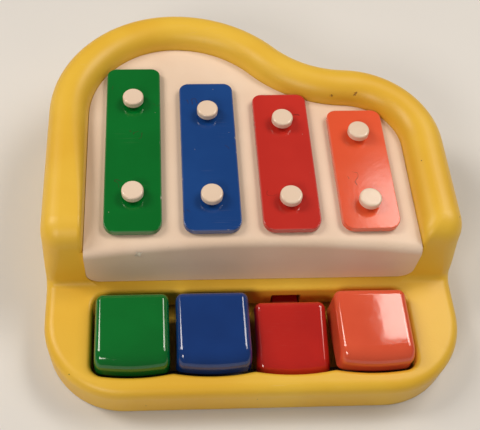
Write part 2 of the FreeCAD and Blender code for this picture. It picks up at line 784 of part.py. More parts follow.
def lower_base():
    """The tray: an edge rib inside the housing, pivot posts, spring pads, screw pads and a rest rib."""
    tray = new_body("lower_base")
    outside = d.housing_wall + d.tray_rib_gap
    inside = outside + d.tray_rib_width
    block = Profile(tray, "XY_Plane")
    plan_outline(block, outside, front_y + outside, d.front_corner_radius - outside)
    pad(tray, block, d.tray_rib_height)
    well = Profile(tray, "XY_Plane", d.tray_floor)
    plan_outline(well, inside, front_y + inside, d.front_corner_radius - inside)
    pocket(tray, well, d.tray_rib_height)

    half_row = len(COLOURS) / 2
    for i in range(len(COLOURS) + 1):
        post_x = row_x + d.key_pitch * (i - half_row)
        post = Profile(tray, "YZ_Plane", post_x - d.post_thickness / 2)
        y, r, z = pivot_y.value, d.post_radius.value, d.pivot_height.value
        left, arch, right, foot = post.chain(
            ((y + r, 0), (y + r, z)),
            ((y, z), r, 0, math.pi),
            ((y - r, z), (y - r, 0)),
            ((y - r, 0), (y + r, 0)),
        )
        post.fix("Vertical", left)
        post.fix("Vertical", right)
        post.hold("Radius", arch, d.post_radius)
        post.hold_x(arch, CENTRE, pivot_y)
        post.hold_y(arch, CENTRE, d.pivot_height)
        post.fix("PointOnObject", foot, START, ORIGIN)
        post.fix("PointOnObject", foot, END, ORIGIN)
        pad(tray, post, d.post_thickness)
    bores = Profile(tray, "YZ_Plane")
    bores.circle(pivot_y, d.pivot_height, d.rod_radius + d.rod_fit)
    pocket(tray, bores, 4 * half_width, both_ways=True)

    raised = Profile(tray, "XY_Plane")
    for x, y in screw_places:
        raised.circle(x, y, d.screw_pad_radius)
    pad(tray, raised, d.screw_pad_height)
    spring_pads = Profile(tray, "XY_Plane")
    for colour in COLOURS:
        x = column_x[colour]
        spring_pads.polygon(
            (x - d.spring_width / 2, spring_tab_front_y),
            (x + d.spring_width / 2, spring_tab_front_y),
            (x + d.spring_width / 2, spring_tab_rear_y),
            (x - d.spring_width / 2, spring_tab_rear_y),
        )
    pad(tray, spring_pads, d.spring_pad_height)
    rest = Profile(tray, "XY_Plane")
    rest.polygon(
        (felt_left, rest_front_y),
        (felt_right, rest_front_y),
        (felt_right, rest_front_y + d.rest_rib_depth),
        (felt_left, rest_front_y + d.rest_rib_depth),
    )
    pad(tray, rest, rest_rib_top)

    holes = Profile(tray, "XY_Plane")
    sinks = Profile(tray, "XY_Plane")
    for x, y in screw_places:
        holes.circle(x, y, d.screw_radius + d.screw_hole_gap)
        sinks.circle(x, y, d.screw_head_radius + d.screw_head_gap)
    pocket(tray, holes, d.screw_pad_height + d.overrun)
    pocket(tray, sinks, d.screw_head_sink + d.screw_head_height)
    pilots = Profile(tray, "XY_Plane", d.spring_pad_height - spring_screw_bite)
    for colour in COLOURS:
        pilots.circle(column_x[colour], spring_screw_y, d.spring_screw_radius + d.screw_fit)
    pocket(tray, pilots, spring_screw_bite + d.overrun)
    return tray


def panel_block(name, depth, top, bend):
    """A block for the panel's skin: its front is ruled from a straight foot towards an arch at rim height."""
    block = new_body(name)
    side = opening_half
    face_y = rim_foot_y + d.panel_setback + depth
    brow_y = face_y + d.panel_arch
    foot = Profile(block, "XY_Plane", d.deck_height)
    foot.polygon((-side, face_y), (side, face_y), (side, rear_y), (-side, rear_y))
    brow = Profile(block, "XY_Plane", d.rim_height)
    radius = side * side / (2 * d.panel_arch) + d.panel_arch / 2
    x, y0, y1 = side.value, face_y.value, rear_y.value
    swing = math.asin(x / radius.value)
    arch, right, back, left = brow.chain(
        ((0, (brow_y - radius).value), radius.value, math.pi / 2 + swing, math.pi / 2 - swing),
        ((x, y0), (x, y1)),
        ((x, y1), (-x, y1)),
        ((-x, y1), (-x, y0)),
    )
    brow.fix("Vertical", left)
    brow.fix("Vertical", right)
    brow.fix("Horizontal", back)
    brow.hold("Radius", arch, radius)
    brow.hold_x(right, START, side)
    brow.hold_x(left, START, -side)
    brow.hold_y(right, END, rear_y)
    brow.hold_y(right, START, face_y)
    loft = block.newObject("PartDesign::AdditiveLoft", f"{name}_loft")
    loft.Profile = foot.sketch
    loft.Sections = [brow.sketch]
    loft.Ruled = True
    above = Profile(block, "XY_Plane", top)
    above.polygon((-half_width, front_y), (half_width, front_y), (half_width, rear_y), (-half_width, rear_y))
    pocket(block, above, d.rim_height + d.overrun - top)

    def is_brow(edge):
        ends = edge_ends(edge)
        return lies_at(edge, z=top) and edge_middle(edge).y < 0 and ends[0].x * ends[1].x < 0

    soften(block, bend, is_brow)
    return block


def panel_skin():
    """The bent sheet: a flat soundboard that turns down in front as an apron."""
    outer = panel_block("panel_outside", as_size(0), panel_top, d.panel_bend_radius)
    inner_bend = d.panel_bend_radius - d.panel_thickness
    inner = panel_block("panel_inside", d.panel_thickness, ledge_top, inner_bend)
    front = new_body("panel_front")
    face = Profile(front, "XZ_Plane")
    half = opening_half - d.panel_gap
    corner = d.window_corner_radius - d.panel_gap
    face.rounded_box(-half, half, d.deck_height + d.panel_gap, d.rim_height, corner, corner / 2)
    pad(front, face, 4 * half_depth, both_ways=True)
    inset = d.rim_width + d.panel_gap
    plan = plan_prism("panel_plan", deck_bottom, d.rim_height, inset, rim_foot_y - corner, corner / 2)
    return overlap("panel_skin", cut("panel_sheet", outer, inner), front, plan)


def soundboard_panel():
    root_height = ledge_top + d.panel_thickness / 2
    bore_top = panel_top + d.overrun
    posts = []
    bores = []
    windows = []
    post_bottom = ledge_top - d.peg_post_drop
    bore_bottom = post_bottom - d.overrun
    bore_radius = d.peg_shaft_radius + d.peg_fit
    window_half = d.hammer_tip_radius + d.strike_window_margin
    window_front, window_rear = struck_y - window_half, hammer_y + window_half
    for colour in COLOURS:
        x = bar_x[colour]
        for end, y in zip(("front", "rear"), peg_ys[colour]):
            post_name = f"{colour}_{end}_post"
            posts.append(cylinder(post_name, d.peg_post_radius, root_height - post_bottom, x, y, post_bottom))
            bore_name = f"{colour}_{end}_bore"
            bores.append(cylinder(bore_name, bore_radius, bore_top - bore_bottom, x, y, bore_bottom))
        left, right = column_x[colour] - window_half, column_x[colour] + window_half
        window_name = f"{colour}_window"
        windows.append(box(window_name, left, right, window_front, window_rear, bore_bottom, bore_top))
    hooks = []
    hook_outside = half_width - ledge_inset - d.panel_gap
    hook_inside = hook_outside - d.hook_thickness
    nose_outside = hook_outside + d.hook_nose
    hook_bottom = ledge_bottom - d.panel_gap - d.hook_thickness
    rear_hook = shoulder_y - d.hook_width
    hook_middles = {"front": rear_hook - d.hook_spacing, "rear": rear_hook}
    for end, middle in hook_middles.items():
        front, rear = middle - d.hook_width / 2, middle + d.hook_width / 2
        leg = (front, rear, hook_bottom, root_height)
        nose = (front, rear, hook_bottom, hook_bottom + d.hook_thickness)
        hooks.append(box(f"right_{end}_leg", hook_inside, hook_outside, *leg))
        hooks.append(box(f"right_{end}_nose", hook_inside, nose_outside, *nose))
        hooks.append(box(f"left_{end}_leg", -hook_outside, -hook_inside, *leg))
        hooks.append(box(f"left_{end}_nose", -nose_outside, -hook_inside, *nose))
    return cut("soundboard_panel", join("panel_joined", panel_skin(), *posts, *hooks), *bores, *windows)


def tone_bar(colour):
    bar = new_body(f"{colour}_bar")
    x = bar_x[colour]
    half = d.bar_width / 2
    plate = Profile(bar, "XY_Plane", bar_bottom)
    rear = bar_front_y + bar_lengths[colour]
    corners = (d.bar_front_corner_radius, d.bar_rear_corner_radius)
    plate.rounded_box(x - half, x + half, bar_front_y, rear, *corners)
    pad(bar, plate, d.bar_thickness)
    soften(bar, d.bar_edge_radius, lambda edge: lies_at(edge, z=bar_top))
    holes = Profile(bar, "XY_Plane", bar_bottom)
    for y in peg_ys[colour]:
        holes.circle(x, y, d.bar_hole_radius)
    pocket(bar, holes, d.bar_thickness + d.overrun)
    return bar


def bar_pegs(colour):
    """Two push pegs: a shaft in the panel's post, a neck that keeps the bar loose and a flat round head."""
    neck_bottom = bar_top + d.peg_play
    head_bottom = neck_bottom + d.peg_neck_height
    head_top = head_bottom + d.peg_head_height
    pegs = []
    for end, y in zip(("front", "rear"), peg_ys[colour]):
        peg = new_body(f"{colour}_{end}_peg")
        section = Profile(peg, "XZ_Plane")
        section.polygon(
            (0, bar_bottom - d.peg_shaft_length),
            (d.peg_shaft_radius, bar_bottom - d.peg_shaft_length),
            (d.peg_shaft_radius, neck_bottom),
            (d.peg_neck_radius, neck_bottom),
            (d.peg_neck_radius, head_bottom),
            (d.peg_head_radius, head_bottom),
            (d.peg_head_radius, head_top),
            (0, head_top),
        )
        revolve(peg, section)
        soften(peg, d.peg_head_edge_radius, lambda edge: lies_at(edge, z=head_top))
        place(peg, bar_x[colour], y)
        pegs.append(peg)
    return group(f"{colour}_bar_pegs", *pegs)


def bar_washers(colour):
    washers = []
    for end, y in zip(("front", "rear"), peg_ys[colour]):
        disc = cylinder(
            f"{colour}_{end}_disc", d.washer_radius, d.washer_thickness, bar_x[colour], y, panel_top
        )
        hole_bottom = panel_top - d.overrun
        hole_length = d.washer_thickness + 2 * d.overrun
        hole = cylinder(
            f"{colour}_{end}_disc_hole", d.bar_hole_radius, hole_length, bar_x[colour], y, hole_bottom
        )
        washers.append(cut(f"{colour}_{end}_washer", disc, hole))
    return group(f"{colour}_bar_washers", *washers)


def turn_on_pivot(item, colour, y=0, z=0):
    """Stand a piece in its key's frame, turned about the pivot by the key's press."""
    angle = press_angle * PRESS_SHARES[colour]
    y, z = as_size(y), as_size(z)
    place(
        item,
        column_x[colour],
        pivot_y + y * cosine(angle) - z * sine(angle),
        d.pivot_height + y * sine(angle) + z * cosine(angle),
    )
    if PRESS_SHARES[colour]:
        item.Placement.Rotation = FreeCAD.Rotation(FreeCAD.Vector(1, 0, 0), angle.value)
        bind(item, "Placement.Rotation.Angle", angle)


def piano_key(colour):
    """A hollow cap with a bowed front, and under it the lever that runs back over the pivot to the hammer."""
    key = new_body(f"{colour}_key")
    front, rear = -(d.key_depth + d.pivot_setback), -d.pivot_setback
    half = d.key_width / 2
    cap_foot = -d.lever_drop
    top_half = half - (cap_top - cap_foot) * tangent(d.key_draft_angle)
    cap = Profile(key, "XZ_Plane", -(front + rear) / 2)
    cap.polygon((-half, cap_foot), (half, cap_foot), (top_half, cap_top), (-top_half, cap_top))
    pad(key, cap, rear - front, both_ways=True)
    ahead = Profile(key, "XY_Plane", cap_foot)
    side_front = front + d.key_front_sagitta
    far_front = front - d.overrun
    side = half + d.overrun
    swing = math.asin(side.value / front_radius.value)
    centre_y = (front + front_radius).value
    x, y0, y1 = side.value, far_front.value, centre_y - front_radius.value * math.cos(swing)
    bow, left, across, right = ahead.chain(
        ((0, centre_y), front_radius.value, -math.pi / 2 + swing, -math.pi / 2 - swing),
        ((-x, y1), (-x, y0)),
        ((-x, y0), (x, y0)),
        ((x, y0), (x, y1)),
    )
    ahead.fix("Vertical", left)
    ahead.fix("Vertical", right)
    ahead.fix("Horizontal", across)
    ahead.hold("Radius", bow, front_radius)
    ahead.hold_x(bow, CENTRE, 0)
    ahead.hold_y(bow, CENTRE, front + front_radius)
    ahead.hold_x(left, START, -side)
    ahead.hold_x(right, START, side)
    ahead.hold_y(across, START, far_front)
    pocket(key, ahead, cap_top + d.overrun - cap_foot)

    def is_front_top(edge):
        return lies_at(edge, z=cap_top) and edge_middle(edge).y < side_front.value

    def is_outer_edge(edge):
        ends = edge_ends(edge)
        above = max(end.z for end in ends) > cap_foot.value + TOLERANCE
        on_side = ends[0].x * ends[1].x > 0
        across_rear = min(end.y for end in ends) > (front.value + rear.value) / 2
        return above and (on_side or across_rear)

    soften(key, d.key_front_radius, is_front_top)
    soften(key, d.key_edge_radius, is_outer_edge)
    under = Profile(key, "YZ_Plane")
    under.polygon(
        (front - d.overrun, cap_foot - d.overrun),
        (rear, cap_foot - d.overrun),
        (rear, cap_foot),
        (front, cap_bottom),
        (front - d.overrun, cap_bottom),
    )
    pocket(key, under, 2 * d.key_pitch, both_ways=True)
    inside = Profile(key, "XY_Plane", cap_foot)
    inside_half = half - d.key_side_wall
    inside.polygon(
        (-inside_half, side_front + d.key_front_wall),
        (inside_half, side_front + d.key_front_wall),
        (inside_half, rear - d.key_side_wall),
        (-inside_half, rear - d.key_side_wall),
    )
    pocket(key, inside, cap_top - d.key_top_wall - cap_foot)

    lever = Profile(key, "YZ_Plane")
    lever_top = d.lever_thickness - d.lever_drop
    web_rear = rear - d.key_side_wall / 2
    web_front = web_rear - d.lever_web_depth
    web_top = cap_top - d.key_top_wall / 2
    lever.polygon(
        (d.hammer_reach + d.lever_tail, -d.lever_drop),
        (d.hammer_reach + d.lever_tail, lever_top),
        (web_rear, lever_top),
        (web_rear, web_top),
        (web_front, web_top),
        (web_front, cap_bottom),
        (rear - d.lever_reach, -d.lever_drop),
    )
    pad(key, lever, d.lever_width, both_ways=True)
    hub = Profile(key, "YZ_Plane")
    hub.circle(0, 0, d.hub_radius)
    pad(key, hub, d.key_pitch - d.post_thickness - 2 * d.hub_end_gap, both_ways=True)
    post = Profile(key, "XY_Plane")
    post.circle(0, d.hammer_reach, d.hammer_post_radius)
    pad(key, post, hammer_seat)
    spigot = Profile(key, "XY_Plane")
    spigot.circle(0, d.hammer_reach, d.hammer_spigot_radius)
    pad(key, spigot, hammer_seat + d.hammer_spigot_length)
    bore = Profile(key, "YZ_Plane")
    bore.circle(0, 0, d.rod_radius + d.rod_fit)
    pocket(key, bore, 2 * d.key_pitch, both_ways=True)
    turn_on_pivot(key, colour)
    return key


def hammer_tip(colour):
    tip = new_body(f"{colour}_hammer_tip")
    section = Profile(tip, "XZ_Plane")
    socket = d.hammer_spigot_radius + d.hammer_fit
    socket_depth = d.hammer_spigot_length + d.hammer_fit
    section.polygon(
        (socket, 0),
        (d.hammer_tip_radius, 0),
        (d.hammer_tip_radius, d.hammer_tip_height),
        (0, d.hammer_tip_height),
        (0, socket_depth),
        (socket, socket_depth),
    )
    revolve(tip, section)
    dome = d.hammer_tip_radius * d.hammer_dome_share
    soften(tip, dome, lambda edge: lies_at(edge, z=d.hammer_tip_height))
    turn_on_pivot(tip, colour, d.hammer_reach, hammer_seat)
    return tip


def key_spring(colour):
    """A leaf whose tab is screwed to its pad and whose tip lies under the lever."""
    spring = new_body(f"{colour}_key_spring")
    angle = press_angle * PRESS_SHARES[colour]
    touch = -(d.spring_tip_reach * sine(angle)) - d.lever_drop * cosine(angle)
    tip_top = d.pivot_height + touch - d.spring_gap
    tab_top = d.spring_pad_height + d.spring_thickness
    tip_y = spring_tab_front_y - d.spring_free_length
    leaf = Profile(spring, "YZ_Plane")
    leaf.polygon(
        (spring_tab_rear_y, d.spring_pad_height),
        (spring_tab_rear_y, tab_top),
        (spring_tab_front_y, tab_top),
        (tip_y, tip_top),
        (tip_y, tip_top - d.spring_thickness),
        (spring_tab_front_y, d.spring_pad_height),
    )
    pad(spring, leaf, d.spring_width, both_ways=True)
    hole = Profile(spring, "XY_Plane", d.spring_pad_height)
    hole.circle(0, spring_screw_y, d.spring_screw_radius + d.spring_hole_gap)
    pocket(spring, hole, d.spring_thickness + d.overrun)
    place(spring, column_x[colour])
    return spring


def screw(name, radius, length, head_radius, head_height):
    """A pan-headed screw that points up, with the underside of its head at zero height."""
    item = new_body(name)
    section = Profile(item, "XZ_Plane")
    section.polygon(
        (0, -head_height),
        (head_radius, -head_height),
        (head_radius, 0),
        (radius, 0),
        (radius, length),
        (0, length),
    )
    revolve(item, section)
    return item


def base_screws():
    screws = []
    for i, (x, y) in enumerate(screw_places):
        head = (d.screw_head_radius, d.screw_head_height)
        item = screw(f"base_screw_{i}", d.screw_radius, d.screw_length, *head)
        place(item, x, y, d.screw_head_sink + d.screw_head_height)
        screws.append(item)
    return group("base_screws", *screws)


def spring_screws():
    screws = []
    for colour in COLOURS:
        item = screw(
            f"{colour}_spring_screw",
            d.spring_screw_radius,
            d.spring_screw_length,
            d.spring_screw_head_radius,
            d.spring_screw_head,
        )
        item.Placement.Rotation = FreeCAD.Rotation(FreeCAD.Vector(1, 0, 0), 180)
        place(item, column_x[colour], spring_screw_y, d.spring_pad_height + d.spring_thickness)
        screws.append(item)
    return group("spring_screws", *screws)


def pivot_rod():
    length = d.key_pitch * len(COLOURS) + d.post_thickness + 2 * (d.retainer_gap + d.retainer_length)
    return rod_along_x("key_pivot_rod", d.rod_radius, length, row_x - length / 2, pivot_y, d.pivot_height)


def rod_retainers():
    caps = []
    for side in SIDES:
        inner = d.key_pitch * len(COLOURS) / 2 + d.post_thickness / 2 + d.retainer_gap
        start = row_x + (inner if side > 0 else -inner - d.retainer_length)
        name = "right" if side > 0 else "left"
        axis = (pivot_y, d.pivot_height)
        disc = rod_along_x(f"{name}_cap", d.retainer_radius, d.retainer_length, start, *axis)
        bore_start = start - d.overrun
        bore_length = d.retainer_length + 2 * d.overrun
        bore = rod_along_x(f"{name}_cap_bore", d.rod_radius + d.rod_fit, bore_length, bore_start, *axis)
        caps.append(cut(f"{name}_retainer", disc, bore))
    return group("rod_retainers", *caps)


def key_stop_felt():
    rear = key_front_y + d.felt_width
    return box("key_stop_felt", felt_left, felt_right, key_front_y, rear, d.tray_floor, stop_top)


def lever_rest_felt():
    rear = rest_front_y + d.rest_rib_depth
    top = rest_rib_top + d.felt_thickness
    return box("lever_rest_felt", felt_left, felt_right, rest_front_y, rear, rest_rib_top, top)


# Places of the moving parts, in each key's own frame about its pivot and then in the body's frame
cap_bottom = d.key_foot_height
cap_top = d.deck_height + d.key_rise - d.pivot_height
key_reach = d.key_depth + d.pivot_setback
stop_top = d.tray_floor + d.stop_felt_thickness
key_fall = d.pivot_height - stop_top - d.felt_gap
key_swing = root(key_reach * key_reach + cap_bottom * cap_bottom)
press_angle = arc_tangent(cap_bottom / key_reach) + arc_sine(key_fall / key_swing)
press_sine, press_cosine = sine(press_angle), cosine(press_angle)
struck_height = bar_bottom - d.strike_gap - d.pivot_height
hammer_top = (struck_height - d.hammer_reach * press_sine) / press_cosine
hammer_seat = hammer_top - d.hammer_tip_height
hammer_y = pivot_y + d.hammer_reach
struck_y = pivot_y + d.hammer_reach * press_cosine - hammer_top * press_sine
felt_half = d.key_pitch * outer_columns + d.key_width / 2
felt_left, felt_right = row_x - felt_half, row_x + felt_half
rest_rib_top = d.pivot_height - d.lever_drop - d.felt_gap - d.felt_thickness
rest_front_y = hammer_y + d.lever_tail - d.rest_rib_depth
spring_tab_front_y = pivot_y - d.spring_tip_reach + d.spring_free_length
spring_tab_rear_y = spring_tab_front_y + d.spring_tab_length
spring_screw_y = spring_tab_front_y + d.spring_tab_length / 2
spring_screw_bite = d.spring_screw_length - d.spring_thickness
peg_ys = {}
for colour, length in bar_lengths.items():
    peg_ys[colour] = (
        bar_front_y + length * d.bar_front_node_share,
        bar_front_y + length * (1 - d.bar_rear_node_share),
    )

nodes = [upper_housing(), lower_base(), soundboard_panel()]
for maker in (tone_bar, bar_pegs, bar_washers, piano_key, hammer_tip, key_spring):
    nodes += [maker(colour) for colour in COLOURS]
nodes += [pivot_rod(), rod_retainers(), key_stop_felt(), lever_rest_felt(), base_screws(), spring_screws()]
document.recompute()

faults = [item.Name for item in document.Objects if "Invalid" in item.State or "Error" in item.State]
faults += [node.Name for node in nodes if node.Shape.isNull() or not node.Shape.isValid()]
if faults:
    raise ValueError(f"these objects failed: {faults}")

os.makedirs("parts", exist_ok=True)
for node in nodes:
    node.Label = node.Name
    node.Shape.exportStep(f"parts/{node.Label}.step")
    print(node.Label, len(node.Shape.Solids), round(node.Shape.Volume, 1))
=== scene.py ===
import functools
import math

import bpy
import numpy as np
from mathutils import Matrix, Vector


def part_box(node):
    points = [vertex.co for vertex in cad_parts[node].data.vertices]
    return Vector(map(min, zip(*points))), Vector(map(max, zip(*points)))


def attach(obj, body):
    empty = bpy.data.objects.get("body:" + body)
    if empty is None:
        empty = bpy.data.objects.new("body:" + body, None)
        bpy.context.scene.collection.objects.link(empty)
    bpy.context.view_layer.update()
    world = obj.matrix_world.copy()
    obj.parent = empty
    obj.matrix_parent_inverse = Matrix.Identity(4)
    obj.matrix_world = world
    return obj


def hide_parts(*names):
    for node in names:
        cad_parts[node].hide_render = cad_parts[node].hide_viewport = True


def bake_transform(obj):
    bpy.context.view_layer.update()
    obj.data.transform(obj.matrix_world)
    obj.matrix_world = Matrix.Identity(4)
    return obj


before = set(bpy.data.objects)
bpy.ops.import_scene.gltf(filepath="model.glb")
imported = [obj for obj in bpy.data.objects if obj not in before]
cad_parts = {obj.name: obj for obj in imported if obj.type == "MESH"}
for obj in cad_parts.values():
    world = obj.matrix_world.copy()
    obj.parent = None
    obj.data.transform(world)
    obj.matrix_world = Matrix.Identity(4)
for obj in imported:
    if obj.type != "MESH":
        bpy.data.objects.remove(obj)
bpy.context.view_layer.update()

# Lengths are metres in the part's own frame, unless a name says otherwise.
COLOURS = ("green", "blue", "red", "orange")
SIDES = {"left": -1, "right": 1}

# The camera stands where the photograph was taken from, on the player's side and a little to the left.
CAMERA_PLACE = (-0.0494, -0.2578, 0.4216)
CAMERA_TURN_DEGREES = (32.123, -1.457, -1.891)
CAMERA_LENS_MM = 60.0
CAMERA_SENSOR_MM = 36.0
CAMERA_SHIFT = 0.1
CAMERA_NEAREST = 0.01

# Each softbox has its place, the point that it faces, its width and height, and its power in watts.
CASE_MIDDLE = (0.0, 0.0, 0.04)
SOFTBOXES = {
    "key_softbox": ((0.75, 0.2, 1.0), CASE_MIDDLE, (0.5, 0.5), 4.2),
    "window_softbox": ((0.463, 0.402, 0.85), (0.463, 0.402, 0.0), (0.3, 0.3), 2.6),
    "left_softbox": ((-0.75, 0.25, 0.85), CASE_MIDDLE, (0.3, 0.5), 5.4),
    "front_softbox": ((-0.55, -0.85, 0.85), CASE_MIDDLE, (0.4, 0.3), 4.6),
}
SOFTBOX_TINT = (1.0, 0.93, 0.84)
ROOM_TINT = (1.0, 0.96, 0.91, 1.0)
ROOM_STRENGTH = 0.14
FLOOR_REACH = 2.0

# The web at each front end of the rim. Its gap and thickness are measured outwards from the panel's side.
WEB_GAP = 0.0004
WEB_THICKNESS = 0.0028
WEB_FRONT, WEB_BEVEL, WEB_REAR = -0.0469, -0.0446, -0.038
WEB_BOTTOM, WEB_TOP = 0.046, 0.0549

# The spring leaf under each lever. Its ease and nose are shares of its free length, and its blunt end is the
# share of the nose at which the rounding stops.
LEAF_PAD = 0.005
LEAF_THICKNESS = 0.0004
LEAF_TAB = 0.008
LEAF_EASE = 0.12
LEAF_NOSE = 0.12
LEAF_BLUNT = 0.95
LEAF_STATIONS = 41

# Knocks in the mouldings: two dirty ones on the rim behind the short bars, and a pale one on the apron, whose
# pale tone is whitened chipped plastic and partly a painted highlight.
RIM_KNOCKS = ((0.053, 0.0514, 0.0596), (0.0665, 0.051, 0.0613))
RIM_KNOCK_RADIUS = 0.0009
APRON_KNOCKS = ((-0.0613, -0.0482, 0.0486),)
APRON_KNOCK_RADIUS = 0.0019


def srgb(red, green, blue):
    """A display colour, 0 to 255 a channel, as the linear colour that a shader takes."""
    shares = np.array((red, green, blue)) / 255
    linear = np.where(shares <= 0.04045, shares / 12.92, ((shares + 0.055) / 1.055) ** 2.4)
    return (*linear.tolist(), 1.0)


# The main colour of each moulding, key and bar, and the shade that its faint clouds turn to.
YELLOW_TONES = (srgb(238, 193, 62), srgb(231, 181, 50))
PANEL_TONES = (srgb(240, 216, 194), srgb(232, 205, 181))
PEG_TONES = (srgb(240, 217, 196), srgb(234, 209, 186))
KEY_TONES = {
    "green": (srgb(0, 112, 40), srgb(0, 104, 36)),
    "blue": (srgb(18, 58, 126), srgb(15, 52, 116)),
    "red": (srgb(190, 36, 28), srgb(180, 32, 26)),
    "orange": (srgb(228, 92, 60), srgb(220, 84, 54)),
}
BAR_TONES = {
    "green": (srgb(0, 112, 40), srgb(0, 105, 36)),
    "blue": (srgb(24, 70, 138), srgb(20, 64, 130)),
    "red": (srgb(200, 48, 38), srgb(192, 44, 35)),
    "orange": (srgb(236, 96, 58), srgb(229, 88, 52)),
}
STEEL_TONES = (srgb(150, 150, 152), srgb(190, 189, 186))
FELT_TONES = (srgb(58, 57, 58), srgb(128, 126, 124))
RUBBER_TONES = (srgb(24, 24, 25), srgb(52, 51, 50))
FLOOR_TONES = (srgb(224, 222, 219), srgb(230, 228, 226))

# Dirt and wear; the apron knock's pale tone is partly a painted highlight as well.
YELLOW_DIRT = srgb(70, 50, 20)
PANEL_DIRT = srgb(120, 96, 70)
PEG_DIRT = srgb(150, 130, 105)
RIM_KNOCK_DIRT = srgb(140, 78, 12)
# Whitened chipped plastic, painted paler still to stand for the highlight that the knock catches.
APRON_KNOCK_PALE_AND_HIGHLIGHT = srgb(255, 244, 228)
KEY_DUST = srgb(215, 205, 195)
BAR_RUB = srgb(225, 215, 205)
BAR_MARK = srgb(60, 38, 28)
BARE_METAL = srgb(196, 188, 178)

PLASTIC_IOR = 1.5
KEY_IOR = 1.52
PAINT_IOR = 1.5


class Wire:
    """A shader value with arithmetic: each operator adds the Math node that works it out."""

    def __init__(self, finish, socket):
        self.finish = finish
        self.socket = socket

    def math(self, operation, first, second):
        return self.finish.node("ShaderNodeMath", {"operation": operation}, {0: first, 1: second})

    def __add__(self, other):
        return self.math("ADD", self, other)

    def __radd__(self, other):
        return self.math("ADD", other, self)

    def __sub__(self, other):
        return self.math("SUBTRACT", self, other)

    def __rsub__(self, other):
        return self.math("SUBTRACT", other, self)

    def __mul__(self, other):
        return self.math("MULTIPLY", self, other)

    def __rmul__(self, other):
        return self.math("MULTIPLY", other, self)

    def __abs__(self):
        return self.math("ABSOLUTE", self, 0.0)

    def least(self, other):
        return self.math("MINIMUM", self, other)

    def most(self, other):
        return self.math("MAXIMUM", self, other)

    def rise(self, low, high):
        """0 below low, 1 above high and a smooth step between them; low above high makes it fall."""
        sockets = {"Value": self, "From Min": low, "From Max": high}
        return self.finish.node("ShaderNodeMapRange", {"interpolation_type": "SMOOTHSTEP"}, sockets)


